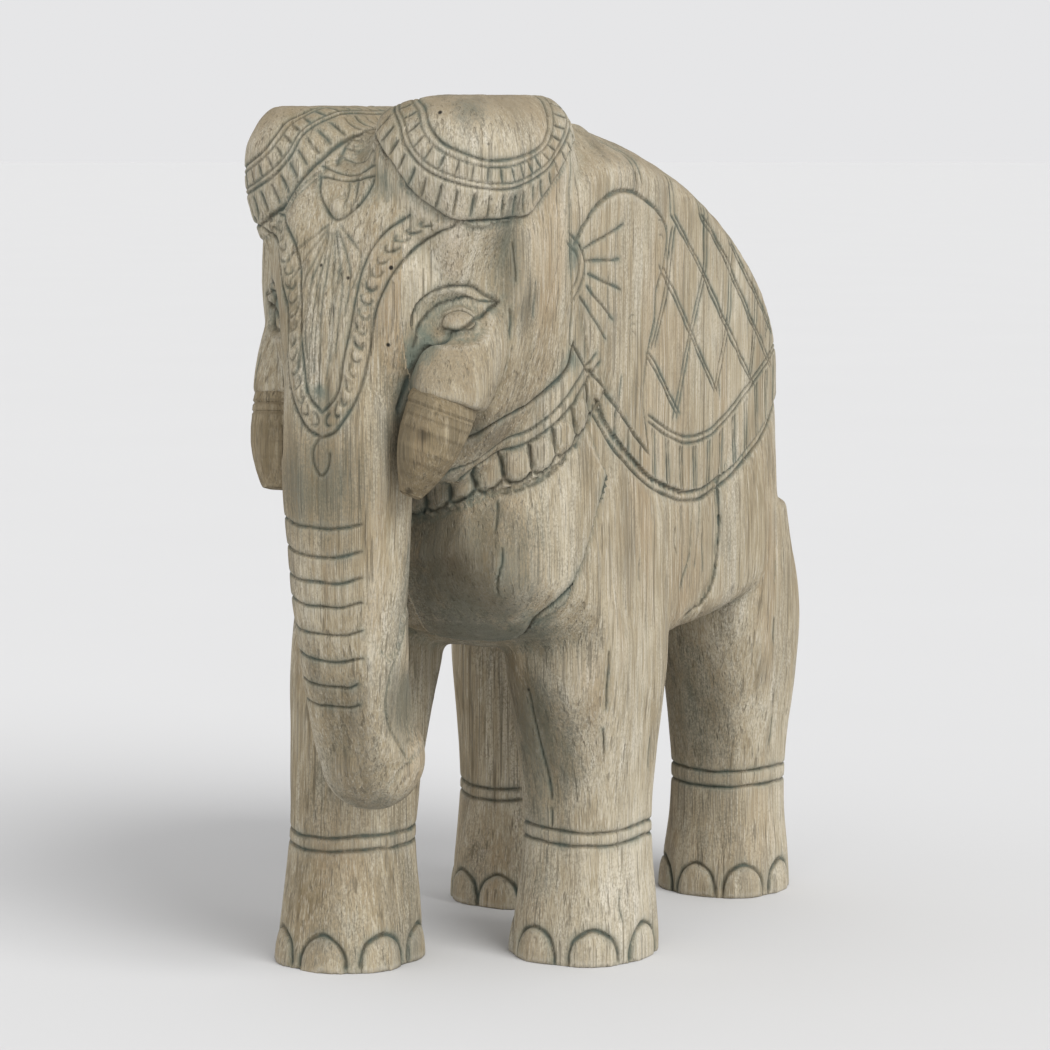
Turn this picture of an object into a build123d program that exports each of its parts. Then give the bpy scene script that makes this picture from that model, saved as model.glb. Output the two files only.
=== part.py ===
from build123d import *
import os

# Carved wooden elephant, walking. Millimetres, +Z up, the head faces -Y and the
# elephant's left side is +X. The origin is on the floor, under the figure's middle.
# The outside is drawn whole, then cut into the upright blocks that it is glued up from.

# ------------------------------------------------------------------ the whole figure
half_width = 133.0              # centre plane to the flat of the flank
throat_z = 404.0                # underside of the head, which the head and trunk hang from

# ------------------------------------------------------------------ torso
# (y, how far the side lies inside the flank, underside, top edge of the flank, spine),
# from chest to rump
torso_stations = [
    (-192.0, 73.0, 352.0, 500.0, 520.0),
    (-172.0, 37.0, 312.0, 572.0, 600.0),
    (-120.0, 7.0, 276.0, 640.0, 674.0),
    (-40.0, 0.0, 262.0, 648.0, 686.0),
    (60.0, 0.0, 264.0, 616.0, 664.0),
    (150.0, 2.0, 272.0, 566.0, 628.0),
    (215.0, 8.0, 288.0, 508.0, 580.0),
    (258.0, 27.0, 314.0, 446.0, 520.0),
    (284.0, 61.0, 350.0, 404.0, 446.0),
]
belly_sag = 12.0                # the underside bows this far down between the flanks
torso_edge_r = 22.0

# ------------------------------------------------------------------ legs
# (z, how far the outer side lies inside the flank, y, width, length, corner radius),
# from the sole up
left_foreleg_stations = [
    (0.0, -1.5, -32.0, 114.0, 122.0, 50.0),
    (40.0, 0.0, -32.0, 108.0, 114.0, 46.0),
    (105.0, 4.0, -32.0, 98.0, 102.0, 40.0),
    (200.0, 0.5, -34.0, 103.0, 122.0, 36.0),
    (290.0, 0.0, -38.0, 104.0, 146.0, 34.0),
    (380.0, 4.0, -40.0, 102.0, 148.0, 34.0),
]
right_foreleg_stations = [
    (0.0, -1.0, -149.0, 112.0, 120.0, 50.0),
    (40.0, 2.0, -147.0, 106.0, 112.0, 46.0),
    (105.0, 7.0, -143.0, 96.0, 100.0, 40.0),
    (200.0, 6.0, -130.0, 98.0, 114.0, 36.0),
    (290.0, 7.0, -110.0, 98.0, 132.0, 34.0),
    (380.0, 11.0, -90.0, 96.0, 134.0, 34.0),
]
left_hindleg_stations = [
    (0.0, 8.0, 241.0, 110.0, 112.0, 48.0),
    (40.0, 10.0, 240.0, 104.0, 104.0, 44.0),
    (105.0, 13.0, 239.0, 94.0, 96.0, 38.0),
    (170.0, 9.0, 237.0, 98.0, 110.0, 36.0),
    (245.0, 4.0, 231.0, 104.0, 128.0, 36.0),
    (350.0, 9.0, 212.0, 100.0, 124.0, 34.0),
]
right_hindleg_stations = [
    (0.0, 8.0, 110.0, 110.0, 112.0, 48.0),
    (40.0, 10.0, 111.0, 104.0, 104.0, 44.0),
    (105.0, 13.0, 115.0, 94.0, 96.0, 38.0),
    (170.0, 9.0, 124.0, 98.0, 112.0, 36.0),
    (260.0, 4.0, 146.0, 104.0, 148.0, 36.0),
    (360.0, 9.0, 168.0, 100.0, 156.0, 34.0),
]

# ------------------------------------------------------------------ head
# (rise above the throat, how far neck and cheek lie inside the flank,
# half width of the face, y of the face)
head_stations = [
    (0.0, 73.0, 73.0, 32.0, -228.0),
    (36.0, 27.0, 43.0, 38.0, -256.0),
    (116.0, 5.0, 16.0, 48.0, -282.0),
    (196.0, 3.0, 12.0, 50.0, -276.0),
    (246.0, 13.0, 21.0, 46.0, -262.0),
    (276.0, 41.0, 49.0, 38.0, -244.0),
]
head_back_y = -60.0             # the head runs back into the neck as far as this
cheek_y = -208.0
head_edge_r = 14.0

# the two swellings of the skull: (how far the side lies inside the flank, y,
# half width, half length, rise of the top above the throat)
left_dome = (8.0, -184.0, 62.0, 90.0, 297.0)
right_dome = (15.0, -184.0, 58.0, 82.0, 289.0)
# (depth below the top, how far the outline is drawn in), from the buried root up
dome_steps = [(160.0, 32.0), (115.0, 13.0), (70.0, 1.0), (30.0, 2.0), (8.0, 13.0), (0.0, 27.0)]
dome_corner_r = 50.0

# ------------------------------------------------------------------ trunk
trunk_x = -4.0                  # the trunk hangs a little to the right
# (rise above the throat, y, width, depth, corner radius), from the forehead down
trunk_stations = [
    (236.0, -243.0, 84.0, 46.0, 20.0),
    (156.0, -254.0, 92.0, 62.0, 26.0),
    (66.0, -261.0, 98.0, 70.0, 30.0),
    (-4.0, -260.0, 99.0, 74.0, 32.0),
    (-84.0, -258.0, 90.0, 74.0, 33.0),
    (-184.0, -243.0, 84.0, 66.0, 31.0),
    (-214.0, -236.0, 82.0, 62.0, 29.0),
]
tip_y = -227.0
tip_rise = -217.0
tip_radii = (41.0, 43.0, 43.0)

# ------------------------------------------------------------------ tusks
# centre of the sheath's mouth, centre of the sawn end, radius of the sawn end;
# places are (how far inside the flank, y, rise above the throat)
left_tusk = ((50.0, -255.0, 66.0), (63.0, -271.0, -4.0), 10.0)
right_tusk = ((50.0, -224.0, 62.0), (53.0, -236.0, -11.0), 17.0)
tusk_mouth_r = 27.0
tusk_belly_r = 24.0             # halfway down the tusk
left_sheath_root = (61.0, -198.0, 156.0)
right_sheath_root = (61.0, -180.0, 156.0)
sheath_root_r = 28.0
sheath_bulge_r = 36.0           # halfway down the sheath
sheath_lip = 2.0                # the sheath stands this far proud of the tusk
tenon_r = 9.0
tenon_length = 38.0

# ------------------------------------------------------------------ glued joints
trunk_joint_y = -222.0          # the trunk block is glued on in front of this
neck_nape_y = -116.0            # the neck joint leans back from the trunk joint to here
neck_rise = 286.0               # and this high above the throat
trunk_block_half = 55.0
left_shoulder_y = 42.0          # foreleg block to flank block
left_haunch_y = 158.0           # flank block to hind leg block
right_shoulder_y = -38.0
right_haunch_y = 50.0
reach = 800.0                   # longer than the figure, for cutting blocks out of it

# ------------------------------------------------------------------ dowels
dowel_r = 8.0
dowel_length = 80.0
trunk_dowel_length = 50.0
dowel_fit = 0.05                # glue room round a dowel or a tenon
dowel_end_room = 1.0            # glue room at the ends of a dowel, and past a tenon

body_dowel_places = [           # (y, z), across the centre joint
    (-120.0, 340.0), (-120.0, 540.0), (0.0, 340.0), (0.0, 600.0),
    (105.0, 340.0), (105.0, 560.0), (215.0, 360.0), (215.0, 500.0),
]
head_dowel_places = [           # (y, z), across the centre joint
    (-172.0, throat_z + 156.0), (-165.0, throat_z + 236.0),
]
trunk_dowel_places = [          # (x, z), back into the head
    (x, throat_z + rise) for x in (-24.0, 24.0) for rise in (111.0, 206.0)
]
# (x, distance up the joint from the throat)
neck_dowel_places = [(-72.0, 115.0), (72.0, 115.0), (-72.0, 210.0), (72.0, 210.0)]
side_dowel_heights = (350.0, 530.0)
side_dowel_off_centre = 70.0

seat = Vector(0, neck_nape_y - trunk_joint_y, neck_rise).normalized()
neck_plane = Plane(
    origin=(0, trunk_joint_y, throat_z), x_dir=(1, 0, 0), z_dir=Vector(1, 0, 0).cross(seat)
)
neck_top_y = trunk_joint_y + (reach - throat_z) * seat.Y / seat.Z


# ------------------------------------------------------------------ the carved outside
with BuildPart() as torso:
    for y, inset, under, flank_top, spine in torso_stations:
        half = half_width - inset
        with BuildSketch(Plane.XZ.offset(-y)) as section:
            with BuildLine():
                Line((half, under), (half, flank_top))
                ThreePointArc((half, flank_top), (0, spine), (-half, flank_top))
                Line((-half, flank_top), (-half, under))
                ThreePointArc((-half, under), (0, under - belly_sag), (half, under))
            make_face()
            fillet(section.vertices(), torso_edge_r)
    loft()


def leg(stations, side):
    """One leg, lofted up from its sole; side is 1 for the left and -1 for the right."""
    with BuildPart() as column:
        for z, inset, y, width, length, corner in stations:
            with BuildSketch(Plane.XY.offset(z)):
                with Locations((side * (half_width - inset - 0.5 * width), y)):
                    RectangleRounded(width, length, corner)
        loft()
    return column.part


left_foreleg = leg(left_foreleg_stations, 1)
right_foreleg = leg(right_foreleg_stations, -1)
left_hindleg = leg(left_hindleg_stations, 1)
right_hindleg = leg(right_hindleg_stations, -1)


def dome(size, side):
    """A flat-topped swelling of the skull, its root buried in the head."""
    side_inset, y, across, along, rise = size
    with BuildPart() as swelling:
        for depth, inset in dome_steps:
            with BuildSketch(Plane.XY.offset(throat_z + rise - depth)):
                with Locations((side * (half_width - side_inset - across), y)):
                    RectangleRounded(
                        2 * (across - inset), 2 * (along - inset), dome_corner_r - inset
                    )
        loft()
    return swelling.part


with BuildPart() as skull:
    for rise, neck_inset, cheek_inset, face, face_y in head_stations:
        neck = half_width - neck_inset
        cheek = half_width - cheek_inset
        with BuildSketch(Plane.XY.offset(throat_z + rise)) as section:
            with BuildLine():
                Polyline(
                    (neck, head_back_y), (cheek, cheek_y), (face, face_y),
                    (-face, face_y), (-cheek, cheek_y), (-neck, head_back_y),
                    close=True,
                )
            make_face()
            fillet(section.vertices(), head_edge_r)
    loft()
    add(dome(left_dome, 1))
    add(dome(right_dome, -1))

with BuildPart() as trunk_tip:
    Sphere(1.0)
    scale(by=tip_radii)

with BuildPart() as trunk:
    for rise, y, width, depth, corner in trunk_stations:
        with BuildSketch(Plane.XY.offset(throat_z + rise)):
            with Locations((trunk_x, y)):
                RectangleRounded(width, depth, corner)
    loft()
    with Locations((trunk_x, tip_y, throat_z + tip_rise)):
        add(trunk_tip.part)


# ------------------------------------------------------------------ tusks and sheaths
def place(point, side):
    """A point given from the flank and the throat, on one side of the figure."""
    inset, y, rise = point
    return Vector(side * (half_width - inset), y, throat_z + rise)


def tusk_seat(tusk_size, side):
    """The plane of the sheath's mouth, its z pointing down the tusk."""
    mouth = place(tusk_size[0], side)
    end = place(tusk_size[1], side)
    return Plane(origin=mouth, z_dir=end - mouth)


def tenon(mouth_plane, r, length):
    """A round pin from the sheath's mouth up into the sheath."""
    with BuildPart() as pin:
        with BuildSketch(mouth_plane):
            Circle(r)
        extrude(amount=-length)
    return pin.part


def sheath(mouth_plane, root):
    """The swelling of the cheek that the tusk stands in."""
    along = mouth_plane.origin - root
    with BuildPart() as swelling:
        with BuildSketch(Plane(origin=root, z_dir=along)):
            Circle(sheath_root_r)
        with BuildSketch(Plane(origin=root + along * 0.5, z_dir=along)):
            Circle(sheath_bulge_r)
        with BuildSketch(mouth_plane):
            Circle(tusk_mouth_r + sheath_lip)
        loft()
    return swelling.part


def tusk(mouth_plane, tusk_size):
    """A stub of tusk, sawn off square, with the tenon that holds it."""
    mouth, end, end_r = tusk_size
    length = (place(end, 1) - place(mouth, 1)).length
    with BuildPart() as stub:
        for drop, r in ((0.0, tusk_mouth_r), (0.5 * length, tusk_belly_r), (length, end_r)):
            with BuildSketch(mouth_plane.offset(drop)):
                Circle(r)
        loft()
        add(tenon(mouth_plane, tenon_r, tenon_length))
    return stub.part


left_mouth = tusk_seat(left_tusk, 1)
right_mouth = tusk_seat(right_tusk, -1)

left_stub = tusk(left_mouth, left_tusk)
right_stub = tusk(right_mouth, right_tusk)

with BuildPart() as head:
    add(skull.part)
    add(sheath(left_mouth, place(left_sheath_root, 1)))
    add(sheath(right_mouth, place(right_sheath_root, -1)))
    add(trunk.part)
    add([left_stub, right_stub], mode=Mode.SUBTRACT)    # the tusks lie in hollows of the cheeks

with BuildPart() as body:
    add(torso.part)
    add(skull.part)
    add(left_foreleg)
    add(right_foreleg)
    add(left_hindleg)
    add(right_hindleg)
    add([left_stub, right_stub], mode=Mode.SUBTRACT)


# ------------------------------------------------------------------ dowels and their holes
def side_dowels(joint_y, side):
    """Where the dowels cross a joint that stands square to the figure's length."""
    off_centre = side * side_dowel_off_centre
    return (Plane.XZ.offset(-joint_y), [(off_centre, z) for z in side_dowel_heights])


# name: (length, [(joint plane, places on that plane)])
dowel_sets = {
    "body_centre_dowels": (dowel_length, [(Plane.YZ, body_dowel_places)]),
    "head_centre_dowels": (dowel_length, [(Plane.YZ, head_dowel_places)]),
    "trunk_dowels": (trunk_dowel_length, [(Plane.XZ.offset(-trunk_joint_y), trunk_dowel_places)]),
    "neck_dowels": (dowel_length, [(neck_plane, neck_dowel_places)]),
    "left_side_dowels": (
        dowel_length, [side_dowels(left_shoulder_y, 1), side_dowels(left_haunch_y, 1)]
    ),
    "right_side_dowels": (
        dowel_length, [side_dowels(right_shoulder_y, -1), side_dowels(right_haunch_y, -1)]
    ),
}


def pins(joints, r, length):
    """Round pins square to each joint, half of each pin on each side of it."""
    with BuildPart() as group:
        for plane, places in joints:
            with BuildSketch(plane.offset(-0.5 * length)):
                with Locations(*places):
                    Circle(r)
            extrude(amount=length)
    return group.part


with BuildPart() as holes:
    for length, joints in dowel_sets.values():
        add(pins(joints, dowel_r + dowel_fit, length + dowel_end_room))
    for mouth_plane in (left_mouth, right_mouth):
        add(tenon(mouth_plane, tenon_r + dowel_fit, tenon_length + dowel_end_room))


# ------------------------------------------------------------------ blocks
def block(figure, outline, side):
    """What lies inside an outline in (y, z), on one side of the centre plane."""
    with BuildPart() as piece:
        add(figure)
        with BuildSketch(Plane.YZ):
            with BuildLine():
                Polyline(*outline, close=True)
            make_face()
        extrude(amount=side * reach, mode=Mode.INTERSECT)
        add(holes.part, mode=Mode.SUBTRACT)
    return piece.part


def slab(front_y, back_y):
    """Outline of a body block between two joints across the figure."""
    return [(front_y, -1.0), (back_y, -1.0), (back_y, reach), (front_y, reach)]


def shoulder(back_y):
    """Outline of a foreleg block, from the leaning neck joint to the shoulder joint."""
    return [
        (-reach, -1.0), (back_y, -1.0), (back_y, reach),
        (neck_top_y, reach), (trunk_joint_y, throat_z), (-reach, throat_z),
    ]


head_outline = [
    (-reach, throat_z), (trunk_joint_y, throat_z), (neck_top_y, reach), (-reach, reach),
]

with BuildPart() as trunk_block:
    add(head.part)
    with BuildSketch(Plane.XY.offset(throat_z)):
        with Locations((0, trunk_joint_y)):
            Rectangle(2 * trunk_block_half, reach, align=(Align.CENTER, Align.MAX))
    extrude(amount=reach, mode=Mode.INTERSECT)

with BuildPart() as head_sides:
    add(head.part)
    add(trunk_block.part, mode=Mode.SUBTRACT)

with BuildPart() as hanging_trunk:
    add(trunk.part)
    add([left_stub, right_stub], mode=Mode.SUBTRACT)
    split(bisect_by=Plane.XY.offset(throat_z), keep=Keep.BOTTOM)
    add(right_foreleg, mode=Mode.SUBTRACT)      # the tip is hollowed to lie on the leg

with BuildPart() as whole_trunk:
    add(trunk_block.part)
    add(hanging_trunk.part)
    add(holes.part, mode=Mode.SUBTRACT)

pieces = {
    "head_left_block": block(head_sides.part, head_outline, 1),
    "head_right_block": block(head_sides.part, head_outline, -1),
    "trunk_block": whole_trunk.part,
    "left_foreleg_block": block(body.part, shoulder(left_shoulder_y), 1),
    "left_flank_block": block(body.part, slab(left_shoulder_y, left_haunch_y), 1),
    "left_hindleg_block": block(body.part, slab(left_haunch_y, reach), 1),
    "right_foreleg_block": block(body.part, shoulder(right_shoulder_y), -1),
    "right_flank_block": block(body.part, slab(right_shoulder_y, right_haunch_y), -1),
    "right_hindleg_block": block(body.part, slab(right_haunch_y, reach), -1),
    "tusk_left": left_stub,
    "tusk_right": right_stub,
}
for name, (length, joints) in dowel_sets.items():
    pieces[name] = pins(joints, dowel_r, length)

os.makedirs("parts", exist_ok=True)
for name, piece in pieces.items():
    piece.label = name
    export_step(piece, f"parts/{name}.step")
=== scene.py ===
import bpy
import bmesh
import json
import math
import time
import numpy as np
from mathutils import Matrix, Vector, noise
from mathutils.bvhtree import BVHTree
from mathutils.kdtree import KDTree


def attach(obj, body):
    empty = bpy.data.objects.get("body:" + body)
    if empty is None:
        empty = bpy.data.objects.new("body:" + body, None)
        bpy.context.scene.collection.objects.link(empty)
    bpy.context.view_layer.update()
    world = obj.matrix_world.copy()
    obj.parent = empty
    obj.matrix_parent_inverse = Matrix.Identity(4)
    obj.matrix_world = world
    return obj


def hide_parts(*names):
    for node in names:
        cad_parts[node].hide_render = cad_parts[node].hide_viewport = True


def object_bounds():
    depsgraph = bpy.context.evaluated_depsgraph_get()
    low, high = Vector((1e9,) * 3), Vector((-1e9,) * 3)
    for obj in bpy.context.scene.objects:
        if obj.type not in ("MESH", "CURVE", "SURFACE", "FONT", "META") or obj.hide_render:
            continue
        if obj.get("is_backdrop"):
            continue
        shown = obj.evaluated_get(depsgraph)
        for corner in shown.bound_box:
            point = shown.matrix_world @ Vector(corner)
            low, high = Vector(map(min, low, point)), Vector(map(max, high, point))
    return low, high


# Carved elephant. Places are in millimetres here and turned to metres at the end of each step.
# The elephant faces -Y and its left side is +X, as in the frame.

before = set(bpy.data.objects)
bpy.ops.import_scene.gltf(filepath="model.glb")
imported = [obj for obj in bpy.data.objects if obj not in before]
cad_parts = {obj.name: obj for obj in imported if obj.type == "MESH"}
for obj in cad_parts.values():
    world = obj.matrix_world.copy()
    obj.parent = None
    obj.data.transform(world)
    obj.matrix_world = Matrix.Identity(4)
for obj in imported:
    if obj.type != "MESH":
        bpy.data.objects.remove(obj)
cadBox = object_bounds()
mm = 0.001
startTime = time.time()
seed = 7
dice = np.random.default_rng(seed)
noise.seed_set(seed)


def say(words):
    print("%5.1f s  %s" % (time.time() - startTime, words))


# A mesh as arrays of points, in millimetres.
def linkObject(name, mesh):
    thing = bpy.data.objects.new(name, mesh)
    bpy.context.scene.collection.objects.link(thing)
    return thing


def bakeModifiers(thing, name):
    graph = bpy.context.evaluated_depsgraph_get()
    mesh = bpy.data.meshes.new_from_object(thing.evaluated_get(graph))
    mesh.name = name
    return mesh


def readPoints(mesh):
    points = np.empty(len(mesh.vertices) * 3)
    mesh.vertices.foreach_get("co", points)
    return points.reshape(-1, 3) / mm


def writePoints(mesh, points):
    mesh.vertices.foreach_set("co", np.ascontiguousarray(points * mm).ravel())
    mesh.update()


def readNormals(mesh):
    normals = np.empty(len(mesh.vertices) * 3)
    mesh.vertex_normals.foreach_get("vector", normals)
    return normals.reshape(-1, 3)


def readEdges(mesh):
    edges = np.empty(len(mesh.edges) * 2, dtype=np.int64)
    mesh.edges.foreach_get("vertices", edges)
    return edges.reshape(-1, 2)


def setAttribute(mesh, name, values):
    layer = mesh.attributes.get(name) or mesh.attributes.new(name, "FLOAT", "POINT")
    layer.data.foreach_set("value", np.ascontiguousarray(values, dtype=np.float32))


def neighbourMean(values, edges):
    count = len(values)
    a, b = edges[:, 0], edges[:, 1]
    degree = np.bincount(a, minlength=count) + np.bincount(b, minlength=count)
    total = np.empty_like(values)
    for i in range(values.shape[1]):
        total[:, i] = (np.bincount(a, values[b, i], minlength=count)
                       + np.bincount(b, values[a, i], minlength=count))
    return total / np.maximum(degree, 1)[:, None]


def relax(points, edges, rounds, amount=0.5):
    for _ in range(rounds):
        points = points + (neighbourMean(points, edges) - points) * amount
    return points


def smoothStep(t):
    t = np.clip(t, 0.0, 1.0)
    return t * t * (3 - 2 * t)


def bump(points, centre, size):
    # 1 at the centre, falling to 0 round an ellipsoid of that size
    away = np.linalg.norm((points - np.array(centre)) / np.array(size), axis=1)
    return smoothStep(1 - away)


# One skin over all the glued blocks.
blank = {
    "voxel": 2.4,            # grid of the first skin
    "softenRounds": 16,      # how far the edges of the blocks are rounded off
}


def makeSkin():
    bm = bmesh.new()
    for name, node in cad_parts.items():
        if not name.startswith("tusk"):
            bm.from_mesh(node.data)
    mesh = bpy.data.meshes.new("blocks")
    bm.to_mesh(mesh)
    bm.free()
    thing = linkObject("blocks", mesh)
    remesh = thing.modifiers.new("skin", "REMESH")
    remesh.mode = "VOXEL"
    remesh.voxel_size = blank["voxel"] * mm
    skin = bakeModifiers(thing, "skin")
    bpy.data.objects.remove(thing)
    return skin


skin = makeSkin()
skinEdges = readEdges(skin)


def soften(mesh, edges):
    # rounds the sawn edges off, but leaves the soles crisp
    points = readPoints(mesh)
    soft = relax(points, edges, blank["softenRounds"])
    share = smoothStep((points[:, 2] - 0.5) / 9.0)[:, None]
    writePoints(mesh, points * (1 - share) + soft * share)


def softenNear(mesh, edges, centre, size, rounds):
    points = readPoints(mesh)
    share = bump(points, centre, size)[:, None]
    for _ in range(rounds):
        points += (neighbourMean(points, edges) - points) * share * 0.6
    writePoints(mesh, points)


soften(skin, skinEdges)
say("skin of %d points" % len(skin.vertices))

# (centre, size, push along x, y, z) of each soft swelling or hollow, left side as drawn
swellings = [
    ((70, -180, 335), (70, 60, 80), (4, -12, 0)),        # breast between the forelegs
    ((-40, -190, 330), (75, 60, 75), (0, -10, 0)),
    ((30, -180, 272), (85, 60, 34), (0, 0, -13)),
    ((116, -145, 284), (36, 60, 46), (-2, 26, 0)),       # the left foreleg stands back from it
    ((98, -90, 236), (44, 46, 54), (0, -9, 0)),
    ((44, -236, 232), (22, 40, 60), (-9, 6, 0)),         # hollow between trunk and right foreleg
    ((112, -238, 575), (34, 40, 50), (-5, 5, 0)),        # temple
    ((-112, -238, 575), (34, 40, 50), (5, 5, 0)),
    ((0, -262, 668), (26, 60, 40), (0, 12, -6)),         # valley between the domes
    ((30, -215, 705), (36, 70, 30), (0, 0, -8)),         # the left dome slopes towards it
    ((-120, -220, 690), (34, 70, 34), (5, 0, -6)),
    ((125, 200, 330), (60, 70, 110), (5, 0, 0)),         # haunches
    ((-125, 150, 330), (60, 80, 110), (-5, 0, 0)),
]


def shapeBroadly(mesh):
    points = readPoints(mesh)
    for centre, size, push in swellings:
        points += bump(points, centre, size)[:, None] * np.array(push)
    writePoints(mesh, points)


shapeBroadly(skin)
softenNear(skin, skinEdges, (60, -180, 285), (90, 75, 80), 60)
softenNear(skin, skinEdges, (110, -125, 268), (48, 64, 62), 170)
softenNear(skin, skinEdges, (60, -235, 700), (75, 90, 40), 40)


def buildTree(mesh):
    points = readPoints(mesh)
    polygons = [tuple(p.vertices) for p in mesh.polygons]
    return BVHTree.FromPolygons([Vector(p) for p in points], polygons)


skinTree = buildTree(skin)
say("broad shape")


# each stroke is a line drawn on the wood with a V tool
strokes = []


def curveThrough(points, closed=False, step=1.2):
    # Catmull-Rom through given points, evenly stepped
    p = [np.array(q, dtype=float) for q in points]
    if closed:
        p = [p[-1]] + p + [p[0], p[1]]
    else:
        p = [2 * p[0] - p[1]] + p + [2 * p[-1] - p[-2]]
    out = []
    for i in range(1, len(p) - 2):
        n = max(2, int(np.linalg.norm(p[i + 1] - p[i]) / step))
        for t in np.linspace(0, 1, n, endpoint=False):
            a = 2 * p[i]
            b = (p[i + 1] - p[i - 1]) * t
            c = (2 * p[i - 1] - 5 * p[i] + 4 * p[i + 1] - p[i + 2]) * t * t
            d = (3 * p[i] - p[i - 1] - 3 * p[i + 1] + p[i + 2]) * t ** 3
            out.append(0.5 * (a + b + c + d))
    out.append(p[-2])
    return np.array(out)


def onSkin(points):
    return np.array([skinTree.find_nearest(Vector(p))[0] for p in points])


def cut(points, width=3.0, depth=1.7, stain=0.8, closed=False, wobble=0.5):
    line = curveThrough(points, closed)
    shift = Vector(dice.uniform(-500, 500, 3))
    waves = np.array([noise.noise_vector(Vector(p) * 0.05 + shift) for p in line])
    line = onSkin(line + waves * wobble)
    ease = np.ones(len(line))
    if not closed:
        run = np.minimum(np.arange(len(line)), np.arange(len(line))[::-1])
        ease = smoothStep((run + 1.5) / 5.0)
    strokes.append({"line": line, "width": width, "depth": depth * ease, "stain": stain, "closed": closed})
    return line


def at(line, t):
    # the place a fraction t along a stepped line
    i = t * (len(line) - 1)
    k = min(int(i), len(line) - 2)
    return line[k] + (line[k + 1] - line[k]) * (i - k)


def rungs(first, second, count, start=0.0, end=1.0, **how):
    # short cuts from one line to the other
    for t in np.linspace(start, end, count):
        a, b = at(first, t), at(second, t)
        cut([a + (b - a) * 0.08, (a + b) / 2, b - (b - a) * 0.08], **how)


def side(yz, sign, x=133):
    return [(sign * x, y, z) for y, z in yz]


def mirrored(points, sign, middle=0.0):
    return [(x, y, z) if sign > 0 else (2 * middle - x, y, z) for x, y, z in points]


ear = {
    "outline": [(-136, 586), (-121, 603), (-102, 618), (-74, 627), (-43, 623), (-15, 610), (3, 592),
                (-3, 566), (-14, 546), (-18, 522), (-29, 491), (-34, 459), (-25, 414)],
    "front": [(-134, 508), (-114, 486), (-88, 466), (-58, 440), (-25, 414)],
    "hollow": [(-143, 597), (-129, 586), (-121, 571), (-125, 555), (-137, 540)],
    "hollowInner": [(-146, 589), (-135, 581), (-129, 570), (-132, 558), (-141, 547)],
    "rays": [((-124, 583), (-68, 601)), ((-120, 573), (-75, 573)), ((-118, 563), (-72, 549)),
             ((-119, 553), (-85, 526)), ((-127, 545), (-94, 511))],
    "ticks": [((-13, 602), (-6, 600)), ((-11, 590), (-5, 587)), ((-60, 525), (-52, 528)),
              ((-58, 519), (-51, 520)), ((-57, 514), (-50, 512))],
    "raise": 1.4,
}
saddle = {
    "upper": [(-27, 446), (9, 431), (43, 423), (83, 426), (121, 440), (155, 457), (206, 481), (240, 494)],
    "upperRear": [(104, 254, 498), (76, 270, 502), (40, 272, 505), (0, 273, 506)],
    "lower": [(-108, 464), (-88, 440), (-62, 418), (-25, 395), (19, 380), (50, 375), (83, 377), (132, 390),
              (175, 409), (225, 434)],
    "lowerRear": [(120, 240, 442), (98, 262, 452), (70, 276, 458), (36, 283, 461), (0, 285, 462)],
    "frontOver": [(130, -46, 632), (118, -50, 648), (90, -53, 664), (50, -56, 678), (0, -58, 687)],
    "rimGap": 5.5,
    "raise": 2.6,
    "pairHalf": 2.8,         # half the gap between the two lines of the lattice
    "falling": [[(12, 606), (66, 559), (112, 512), (168, 458)], [(-8, 566), (42, 513), (92, 458)],
                [(-28, 496), (23, 444)], [(62, 606), (112, 565), (160, 517), (212, 470)],
                [(120, 580), (168, 540), (215, 500)]],
    "rising": [[(72, 602), (71, 562), (46, 508), (18, 440)], [(120, 582), (118, 520), (92, 457)],
               [(176, 540), (172, 505), (160, 463)], [(14, 596), (2, 545), (-20, 500)],
               [(214, 505), (210, 478)]],
    "rump": [[(124, 196, 500), (112, 225, 545), (70, 240, 600), (20, 236, 640)],
             [(112, 176, 628), (104, 222, 572), (76, 250, 530), (52, 268, 508)],
             [(84, 240, 590), (50, 258, 560), (14, 268, 520)],
             [(98, 250, 512), (60, 256, 555), (14, 256, 596)],
             [(40, 270, 510), (16, 264, 545), (-6, 256, 580)]],
    "overTop": [(12, 606, -20, 682), (72, 602, 90, 655), (62, 606, 40, 672), (120, 582, 135, 633),
                (120, 580, 100, 650), (176, 548, 190, 598), (168, 560, 150, 624)],
}
collar = {
    "jaw": [(0, -222, 424), (30, -221, 430), (60, -218, 440), (80, -212, 444), (97, -204, 452),
            (107, -174, 462), (116, -150, 479), (121, -136, 492), (123, -131, 510)],
    "rim": [(0, -206, 404), (30, -204, 410), (62, -200, 417), (82, -186, 425), (100, -168, 433),
            (114, -151, 446), (122, -132, 462), (128, -112, 484), (130, -101, 494)],
    "upperRim": [(0, -208, 411), (30, -207, 417), (62, -204, 424), (82, -192, 432), (99, -173, 440),
                 (113, -155, 453), (121, -137, 469), (127, -117, 490), (129, -107, 500)],
    "foot": [(0, -196, 368), (30, -194, 376), (57, -190, 388), (83, -179, 398), (103, -165, 404),
             (118, -144, 418), (125, -122, 437), (129, -106, 454), (130, -96, 464)],
    "shields": 9,
}
breast = [(131, -92, 402), (130, -100, 385), (129, -107, 365), (127, -114, 346), (125, -124, 328),
          (119, -141, 305), (100, -148, 286), (72, -132, 270), (40, -138, 262), (0, -146, 262),
          (-24, -150, 275), (-38, -165, 300)]
neckLine = [(112, -128, 690), (120, -131, 674), (125, -138, 630), (125, -140, 590), (122, -136, 540),
            (123, -135, 508)]


def offsetDown(points, gap):
    return [(x, y, z - gap) for x, y, z in points]


def bowed(a, b, y=0, z=0):
    # the middle of a short line, moved by (y, z)
    return (a[0] + b[0]) / 2 + y, (a[1] + b[1]) / 2 + z


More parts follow.
